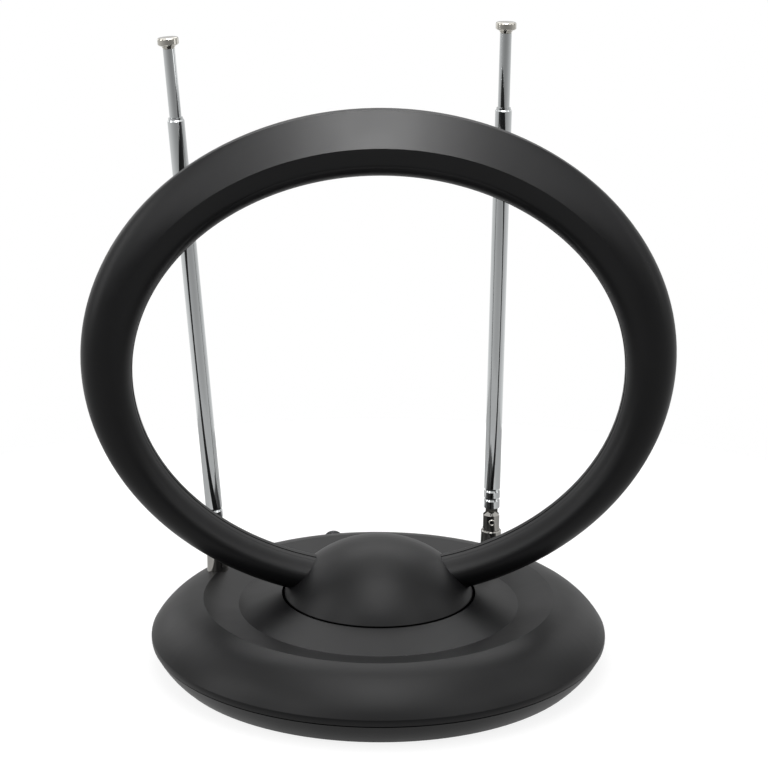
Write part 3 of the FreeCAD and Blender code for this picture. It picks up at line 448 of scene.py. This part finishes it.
def smooth(value, low, high):
    """0 below the range, 1 above it, and an even rise between."""
    share = min(1.0, max(0.0, (value - low) / (high - low)))
    return share * share * (3 - 2 * share)


def ring_point(angle, share, depth):
    """A point between the ring's outer outline (share 0) and its hole (share 1)."""
    width, height, middle = [a + (b - a) * share for a, b in zip(RING_OUTLINE, HOLE_OUTLINE)]
    return (width * math.sin(angle), depth, middle + height * math.cos(angle))


def flat_depth(share):
    """Depth of the two facets. The inner one goes under the moulded surface before its rounded edge."""
    if share < RIDGE_SHARE:
        return OUTER_DEPTH + (RIDGE_DEPTH - OUTER_DEPTH) * share / RIDGE_SHARE - PROUD
    facet = INNER_DEPTH + (RIDGE_DEPTH - INNER_DEPTH) * (1 - share) / (1 - RIDGE_SHARE) - PROUD
    edge = max(0.0, share - INNER_ROUND_SHARE) / (1 - INNER_ROUND_SHARE)
    return facet + INNER_ROUND_DEPTH * edge * edge


def arch_depth(share):
    """Depth of the half oval that replaces the facets further down."""
    reach = ARCH_APEX if share < ARCH_APEX else 1 - ARCH_APEX
    across = min(1.0, abs(share - ARCH_APEX) / reach)
    rise = (1 - across ** ARCH_POWER) ** (1 / ARCH_POWER)
    return ARCH_FOOT + (RIDGE_DEPTH - PROUD - ARCH_FOOT) * rise


band_at_top = ring_point(0, 0, 0)[2] - ring_point(0, 1, 0)[2]
print("band at the ring's top: %.1f mm" % (1000 * band_at_top))

# %% Rounded face of the ring
FACE_END = 168
FACE_STEP = 1.5
CREASE_END = 22
ROUND_START = 75
ACROSS_STEPS = 30
SHARP_ANGLE = math.radians(18)
HIDDEN_BACK = [(0.97, 0.002), (0.94, -0.0008), (0.06, -0.0008), (0.03, 0.002), (0.004, 0.0022)]


def section_shares():
    """Places across the band: close together at both edges, with one of them on the crease."""
    angles = [math.pi / 2 * step / ACROSS_STEPS for step in range(ACROSS_STEPS + 1)]
    outer = [RIDGE_SHARE * (1 - math.cos(angle)) for angle in angles[:-1]]
    inner = [RIDGE_SHARE + (1 - RIDGE_SHARE) * math.sin(angle) for angle in angles]
    return outer + inner


def ring_face():
    """A closed skin over the front of the ring, made of one section after another."""
    verts, faces = [], []
    stations = int(2 * FACE_END / FACE_STEP) + 1
    for station in range(stations):
        degrees = -FACE_END + station * FACE_STEP
        roundness = smooth(abs(degrees), CREASE_END, ROUND_START)
        section = [(share, flat_depth(share) + (arch_depth(share) - flat_depth(share)) * roundness)
                   for share in section_shares()] + HIDDEN_BACK
        verts += [ring_point(math.radians(degrees), share, depth) for share, depth in section]
    around = len(section)
    for station in range(stations - 1):
        for step in range(around):
            a, b = station * around + step, station * around + (step + 1) % around
            faces.append((a, b, b + around, a + around))
    faces.append(list(range(around)))
    faces.append(list(range(len(verts) - around, len(verts))))
    mesh = bpy.data.meshes.new("ring_face")
    mesh.from_pydata(verts, [], faces)
    shape = bmesh.new()
    shape.from_mesh(mesh)
    bmesh.ops.recalc_face_normals(shape, faces=shape.faces)
    shape.to_mesh(mesh)
    shape.free()
    mesh.shade_smooth()
    mesh.set_sharp_from_angle(angle=SHARP_ANGLE)
    mesh.materials.append(satin_black)
    face = bpy.data.objects.new("ring_face", mesh)
    scene.collection.objects.link(face)
    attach(face, "ring_head")
    print("ring face: %d stations, %d faces" % (stations, len(faces)))


ring_face()

# %% [markdown]
# ## Rubber feet
# Four soft rubber pads are glued into recesses under the base. A pressed pad has no sharp edge, so each
# one is a short line along the vertical whose radius follows a curve: small at the table, then quickly
# full. A circle swept along that line gives the pad. It could be modelled once and copied by hand, but
# Geometry Nodes put one on every point of a list, and a changed size changes all four.

# %% Helpers for the trees
BASE_TURN = math.radians(11.4)
QUARTER_TURN = math.radians(90)
print("base turned by %.1f degrees" % math.degrees(BASE_TURN))


def on_base(circle, degrees, height=0.0):
    """A place on the turned base, at an angle from its back."""
    angle = math.radians(degrees) - BASE_TURN
    return (circle * math.sin(angle), circle * math.cos(angle), height)


class NodeTree:
    """A Geometry Nodes tree with named inputs, and a short way to add and join its nodes."""

    def __init__(self, name):
        self.tree = bpy.data.node_groups.new(name, "GeometryNodeTree")
        self.tree.interface.new_socket("Geometry", in_out="OUTPUT", socket_type="NodeSocketGeometry")
        self.tree.interface.new_socket("Places", in_out="INPUT", socket_type="NodeSocketGeometry")
        self.inside = self.tree.nodes.new("NodeGroupInput")
        self.values = {}

    def size(self, name, value):
        """A named input of the tree, with the value that the modifier gets."""
        made = self.tree.interface.new_socket(name, in_out="INPUT", socket_type="NodeSocketFloat")
        self.values[made.identifier] = value
        return self.inside.outputs[name]

    def add(self, kind, settings=None, **inputs):
        """A node whose inputs are given by name: a plain value, or another node's output."""
        made = self.tree.nodes.new(kind)
        for name, value in (settings or {}).items():
            setattr(made, name, value)
        for name, value in inputs.items():
            target = made.inputs[name.replace("_", " ")]
            if isinstance(value, bpy.types.NodeSocket):
                self.tree.links.new(value, target)
            else:
                target.default_value = value
        return made.outputs[0]

    def upright(self, height):
        """A vector straight up of the given height."""
        return self.add("ShaderNodeCombineXYZ", Z=height)

    def reckon(self, operation, first, second):
        """A calculation with two values, each of them a number or another node's output."""
        made = self.add("ShaderNodeMath", {"operation": operation})
        for target, value in zip(made.node.inputs, (first, second)):
            if isinstance(value, bpy.types.NodeSocket):
                self.tree.links.new(value, target)
            else:
                target.default_value = value
        return made

    def moved(self, geometry, height):
        """Geometry put higher by a fixed height."""
        return self.add("GeometryNodeTransform", Geometry=geometry, Translation=(0, 0, height))

    def laid(self, geometry):
        """Geometry that was built upright, turned to the axis of the aerial socket."""
        return self.add("GeometryNodeTransform", Geometry=geometry, Rotation=(-QUARTER_TURN, 0, BASE_TURN))

    def cut(self, body, *tools, solver="FLOAT"):
        """The body without what the tools take away. Tools with faces in one plane need the exact solver."""
        made = self.tree.nodes.new("GeometryNodeMeshBoolean")
        made.operation = "DIFFERENCE"
        made.solver = solver
        self.tree.links.new(body, made.inputs["Mesh 1"])
        for tool in tools:
            self.tree.links.new(tool, made.inputs["Mesh 2"])
        return made.outputs[0]

    def wire(self, path, width, sides):
        """A round wire of the given width along a path."""
        profile = self.add("GeometryNodeCurvePrimitiveCircle", Resolution=sides, Radius=0.5)
        return self.add("GeometryNodeCurveToMesh", Curve=path, Profile_Curve=profile, Scale=width)

    def join(self, *parts):
        """Several geometries as one."""
        made = self.tree.nodes.new("GeometryNodeJoinGeometry")
        for part in parts:
            self.tree.links.new(part, made.inputs[0])
        return made.outputs[0]

    def turned(self, height, radius, curve, steps=24, sides=48):
        """A round body on the vertical whose radius follows a curve from its bottom to its top."""
        line = self.add("GeometryNodeCurvePrimitiveLine", End=self.upright(height))
        fine = self.add("GeometryNodeResampleCurve", Curve=line, Count=steps)
        along = self.add("GeometryNodeSplineParameter")
        shape = self.tree.nodes.new("ShaderNodeFloatCurve")
        points = shape.mapping.curves[0].points
        for index, place in enumerate(curve):
            if index < 2:
                points[index].location = place
            else:
                points.new(*place)
        for point in points:
            point.handle_type = "VECTOR"
        shape.mapping.update()
        self.tree.links.new(along, shape.inputs["Value"])
        wide = self.reckon("MULTIPLY", shape.outputs[0], radius)
        ring = self.add("GeometryNodeCurvePrimitiveCircle", Resolution=sides, Radius=1.0)
        return self.add("GeometryNodeCurveToMesh", Curve=fine, Profile_Curve=ring, Scale=wide, Fill_Caps=True)

    def finish(self, shape, material):
        """Closes the tree: the shape on every place, as real geometry with its material."""
        copies = self.add("GeometryNodeInstanceOnPoints", Points=self.inside.outputs["Places"], Instance=shape)
        real = self.add("GeometryNodeRealizeInstances", Geometry=copies)
        made = self.add("GeometryNodeSetMaterial", Geometry=real, Material=material)
        out = self.tree.nodes.new("NodeGroupOutput")
        self.tree.links.new(made, out.inputs[0])


def grown(name, points, tree, body, replaced=()):
    """Runs a tree on a list of points and keeps the result as a plain mesh on a body."""
    seed = bpy.data.meshes.new(name + "_places")
    seed.from_pydata(points, [], [])
    maker = bpy.data.objects.new(name + "_maker", seed)
    scene.collection.objects.link(maker)
    modifier = maker.modifiers.new("grow", "NODES")
    modifier.node_group = tree.tree
    for identifier, value in tree.values.items():
        modifier[identifier] = value
    ready = maker.evaluated_get(bpy.context.evaluated_depsgraph_get())
    mesh = bpy.data.meshes.new_from_object(ready)
    bpy.data.objects.remove(maker)
    mesh.name = name
    piece = bpy.data.objects.new(name, mesh)
    scene.collection.objects.link(piece)
    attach(piece, body)
    if replaced:
        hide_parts(*replaced)
    print("%s: %d faces" % (name, len(mesh.polygons)))


# %% Rubber feet
FOOT_CIRCLE = 0.064
FOOT_ANGLES = (45, 135, 225, 315)

foot_tree = NodeTree("rubber_foot")
foot = foot_tree.turned(foot_tree.size("Foot height", 0.0018), foot_tree.size("Foot radius", 0.0063),
                        [(0.0, 0.9), (0.08, 0.945), (0.2, 0.975), (0.35, 0.995), (0.5, 1.0), (1.0, 1.0)])
foot_tree.finish(foot, black_rubber)
grown("rubber_feet", [on_base(FOOT_CIRCLE, angle) for angle in FOOT_ANGLES], foot_tree, "base",
      ["base_feet"])

# %% [markdown]
# ## Screws under the base
# Four self-tapping screws hold the base plate. Their heads lie deep in wells, so only the pan head with
# its cross recess shows, from below. The recess is the part that makes a screw read as a screw: two
# crossed bars are taken out of the turned head with a Mesh Boolean node before the head is copied to
# its four places.

# %% Screws under the base
SCREW_CIRCLE = 0.070
SCREW_ANGLES = (-28, 28, -120, 120)
SCREW_SEAT = 0.0056

screw_tree = NodeTree("cross_screw")
head_height = screw_tree.size("Head height", 0.0014)
head = screw_tree.turned(head_height, screw_tree.size("Head radius", 0.0028),
                         [(0.0, 0.72), (0.12, 0.84), (0.3, 0.93), (0.55, 0.985), (0.8, 1.0), (1.0, 1.0)])
bar_length = screw_tree.size("Recess length", 0.0028)
bar_width = screw_tree.size("Recess width", 0.0007)
bar_depth = screw_tree.size("Recess depth", 0.0018)
along_bar = screw_tree.add("GeometryNodeMeshCube", Size=screw_tree.add(
    "ShaderNodeCombineXYZ", X=bar_length, Y=bar_width, Z=bar_depth))
across_bar = screw_tree.add("GeometryNodeMeshCube", Size=screw_tree.add(
    "ShaderNodeCombineXYZ", X=bar_width, Y=bar_length, Z=bar_depth))
recessed = screw_tree.cut(head, along_bar, across_bar, solver="EXACT")
hung_head = screw_tree.add("GeometryNodeTransform", Geometry=recessed,
                           Translation=screw_tree.upright(screw_tree.reckon("MULTIPLY", head_height, -1.0)))
shank = screw_tree.turned(screw_tree.size("Shank length", 0.010), screw_tree.size("Shank radius", 0.0014),
                          [(0.0, 1.0), (0.9, 1.0), (1.0, 0.35)], steps=20, sides=24)
screw_tree.finish(screw_tree.join(hung_head, shank), zinc_steel)
grown("base_cross_screws", [on_base(SCREW_CIRCLE, angle, SCREW_SEAT) for angle in SCREW_ANGLES], screw_tree,
      "base", ["base_screws"])

# %% [markdown]
# ## Aerial socket
# The socket at the back has the usual fine thread for a screw-on lead. A thread is a ridge on a helix,
# so a Spiral curve of as many turns as the length has pitches carries a three-sided profile, and lies
# on a turned barrel. The barrel is bored at its end for the pale insulator. Everything is built along
# the vertical and then turned to the socket's axis.

# %% Threaded barrel
SOCKET_HEIGHT = 0.0177
SOCKET_FLAT = 0.084
FLANGE_BACK = 0.0054
BARREL_LENGTH = 0.0159
THREAD_START = 0.0086
THREAD_LENGTH = 0.0068
THREAD_PITCH = 0.00079
THREAD_RIDGE = 0.00014
BORE_RADIUS = 0.0037
BORE_LENGTH = 0.0024
FLANGE_RADIUS = 0.00635
FLANGE_LENGTH = 0.003
PIN_RADIUS = 0.0005
PIN_LENGTH = 0.0072

socket_tree = NodeTree("threaded_socket")
core_radius = socket_tree.size("Core radius", 0.00462)
pitch = socket_tree.size("Thread pitch", THREAD_PITCH)
thread_length = socket_tree.size("Thread length", THREAD_LENGTH)
barrel = socket_tree.turned(socket_tree.size("Barrel length", BARREL_LENGTH), core_radius,
                            [(0.0, 1.0), (0.965, 1.0), (1.0, 0.93)], steps=30, sides=64)
bore = socket_tree.add("GeometryNodeMeshCylinder", Vertices=48, Radius=BORE_RADIUS, Depth=BORE_LENGTH)
bored = socket_tree.cut(barrel, socket_tree.moved(bore, BARREL_LENGTH))
helix = socket_tree.add("GeometryNodeCurveSpiral", Resolution=48, Start_Radius=core_radius,
                        Rotations=socket_tree.reckon("DIVIDE", thread_length, pitch),
                        End_Radius=core_radius, Height=thread_length)
ridge = socket_tree.add("GeometryNodeCurvePrimitiveCircle", Resolution=3, Radius=THREAD_RIDGE)
thread = socket_tree.add("GeometryNodeCurveToMesh", Curve=helix, Profile_Curve=ridge, Fill_Caps=True)
flange = socket_tree.add("GeometryNodeMeshCylinder", Vertices=6, Radius=FLANGE_RADIUS, Depth=FLANGE_LENGTH)
pin = socket_tree.add("GeometryNodeMeshCylinder", Vertices=16, Radius=PIN_RADIUS, Depth=PIN_LENGTH)
whole_socket = socket_tree.join(bored, socket_tree.moved(thread, THREAD_START),
                                socket_tree.moved(flange, FLANGE_LENGTH / 2),
                                socket_tree.moved(pin, -PIN_LENGTH / 2))
socket_tree.finish(socket_tree.laid(whole_socket), black_nickel)
grown("threaded_socket", [on_base(SOCKET_FLAT - FLANGE_BACK, 0, SOCKET_HEIGHT)], socket_tree, "base",
      ["coax_jack"])

# %% [markdown]
# ## Insulator of the socket
# A pale plug of plastic sits in the barrel's end and holds the contact behind a small hole for the
# cable's core. It is a turned plug with a hole cut through it. A painted spot would do for a distant
# look, but not up close.

# %% Insulator of the socket
PLUG_LENGTH = 0.0026
PLUG_SINK = 0.0030
CORE_HOLE_RADIUS = 0.00055
CORE_HOLE_LENGTH = 0.004

cream_insulator = moulded("cream_insulator", (0.62, 0.58, 0.48), (0.7, 0.66, 0.56), 0.45, 2500.0, 0.08)
insulator_tree = NodeTree("socket_insulator")
plug = insulator_tree.turned(insulator_tree.size("Insulator depth", PLUG_LENGTH),
                             insulator_tree.size("Insulator radius", 0.00365),
                             [(0.0, 1.0), (0.9, 1.0), (1.0, 0.94)], steps=20)
core_hole = insulator_tree.add("GeometryNodeMeshCylinder", Vertices=24, Radius=CORE_HOLE_RADIUS,
                               Depth=CORE_HOLE_LENGTH)
drilled = insulator_tree.cut(plug, insulator_tree.moved(core_hole, PLUG_LENGTH))
insulator_tree.finish(insulator_tree.laid(drilled), cream_insulator)
grown("socket_insulator", [on_base(SOCKET_FLAT - FLANGE_BACK + BARREL_LENGTH - PLUG_SINK, 0, SOCKET_HEIGHT)],
      insulator_tree, "base")

# %% [markdown]
# ## Parting line of the ring
# Where the ring's two mouldings meet, a fine gap runs round inside the hole, dark with shade. That shade
# is painted: a circle curve, drawn out to the hole's oval, carries a thin profile of matt black.

# %% Parting line of the ring
SEAM_DEPTH = 0.0012

# Painted shade: a near-black matt finish with no shine, standing in for the shade inside narrow gaps.
gap_shade_black = moulded("gap_shade_black", (0.0006, 0.0006, 0.0006), (0.001, 0.001, 0.001), 0.9, specular=0.0)
seam_tree = NodeTree("parting_line_shade")
circle = seam_tree.add("GeometryNodeCurvePrimitiveCircle", Resolution=256, Radius=1.0)
oval = seam_tree.add("GeometryNodeTransform", Geometry=circle, Rotation=(QUARTER_TURN, 0, 0),
                     Scale=(HOLE_OUTLINE[0], HOLE_OUTLINE[1], 1))
seam_tree.finish(seam_tree.wire(oval, seam_tree.size("Gap width", 0.0004), 8), gap_shade_black)
# Painted shade: a black bead lies where the parting gap's shade falls.
grown("parting_line_shade", [(0.0, SEAM_DEPTH, HOLE_OUTLINE[2])], seam_tree, "ring_head")

# %% [markdown]
# ## Gap round the dome
# The dome turns in a round well and leaves a narrow gap, which reads as one black line. That line is
# painted shade: a ring of matt black lies in the gap where its shade falls. It is a circle with a thin
# round profile, again on one point.

# %% Gap round the dome
GAP_MIDDLE = 0.04006
GAP_HEIGHT = 0.02885

gap_tree = NodeTree("dome_gap")
gap_path = gap_tree.add("GeometryNodeCurvePrimitiveCircle", Resolution=128,
                        Radius=gap_tree.size("Gap radius", GAP_MIDDLE))
# Painted shade: a matt black ring in the gap round the dome stands in for the gap's shade.
gap_tree.finish(gap_tree.wire(gap_path, gap_tree.size("Shade ring width", 0.00074), 10), gap_shade_black)
grown("dome_gap_shade_ring", [(0.0, 0.0, GAP_HEIGHT)], gap_tree, "base")

# %% [markdown]
# ## Rivets of the elbows
# The pin of each elbow is a hollow rivet whose ends are rolled over. The rolled edge is a small ring on
# the fork, at the front and at the back: a circle swept round a circle, put on two points and joined to
# each elbow.

# %% Rivets of the elbows
ELBOW_CIRCLE = 0.0754
ELBOW_ANGLES = {"left": -54.2, "right": 54.2}
PIVOT_HEIGHT = 0.0402
FORK_RADIUS = 0.0036


def rivet_tree(side):
    """The rolled edge of a rivet, which faces the front and the back."""
    tree = NodeTree(side + "_rivet")
    path = tree.add("GeometryNodeCurvePrimitiveCircle", Resolution=40,
                    Radius=tree.size("Ring radius", 0.00115))
    edge = tree.wire(path, tree.size("Edge width", 0.00072), 14)
    tree.finish(tree.add("GeometryNodeTransform", Geometry=edge, Rotation=(QUARTER_TURN, 0, 0)), nickel)
    return tree


for side, degrees in ELBOW_ANGLES.items():
    x, y, z = on_base(ELBOW_CIRCLE, degrees, PIVOT_HEIGHT)
    grown(side + "_rivet_rings", [(x, y - FORK_RADIUS, z), (x, y + FORK_RADIUS, z)], rivet_tree(side),
          side + "_elbow_body")
